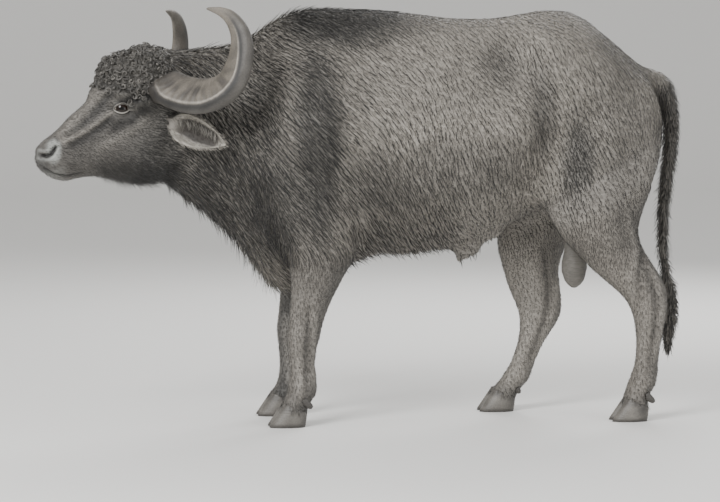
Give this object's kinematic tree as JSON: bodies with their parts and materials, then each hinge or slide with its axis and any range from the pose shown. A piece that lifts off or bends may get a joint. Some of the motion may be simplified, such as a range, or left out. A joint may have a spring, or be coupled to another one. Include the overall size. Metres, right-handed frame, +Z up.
{
  "type": "water buffalo",
  "caption": "Life-size standing water buffalo bull with swept-back crescent horns, curly crown, drooping ears and a tufted tail.",
  "frame": {"origin": "centre of the bounding box's footprint, at the level of the soles", "axes": "+X from the muzzle towards the tail, +Y towards the animal's right side, +Z up; the animal faces -X"},
  "size_m": [2.2792, 0.77, 1.4503],
  "materials": {
    "hide": "coarse dark grey coat over skin",
    "bare_skin": "bare wrinkled skin",
    "horn": "ridged grey horn, darker below the keel",
    "hoof": "dull grey hoof horn",
    "eye": "wet dark brown"
  },
  "bodies": {
    "root": {"head": "hide", "neck": "hide", "torso": "hide", "tail": "hide", "leg_front_left": "hide", "leg_front_right": "hide", "leg_hind_left": "hide", "leg_hind_right": "hide", "scrotum": "bare_skin", "ear_left": "hide", "ear_right": "hide", "eye_left": "eye", "eye_right": "eye", "horn_left": "horn", "horn_right": "horn", "claw_front_left_outer": "hoof", "claw_front_left_inner": "hoof", "claw_front_right_outer": "hoof", "claw_front_right_inner": "hoof", "claw_hind_left_outer": "hoof", "claw_hind_left_inner": "hoof", "claw_hind_right_outer": "hoof", "claw_hind_right_inner": "hoof", "dewclaw_front_left_outer": "hoof", "dewclaw_front_left_inner": "hoof", "dewclaw_front_right_outer": "hoof", "dewclaw_front_right_inner": "hoof", "dewclaw_hind_left_outer": "hoof", "dewclaw_hind_left_inner": "hoof", "dewclaw_hind_right_outer": "hoof", "dewclaw_hind_right_inner": "hoof"}
  },
  "joints": []
}
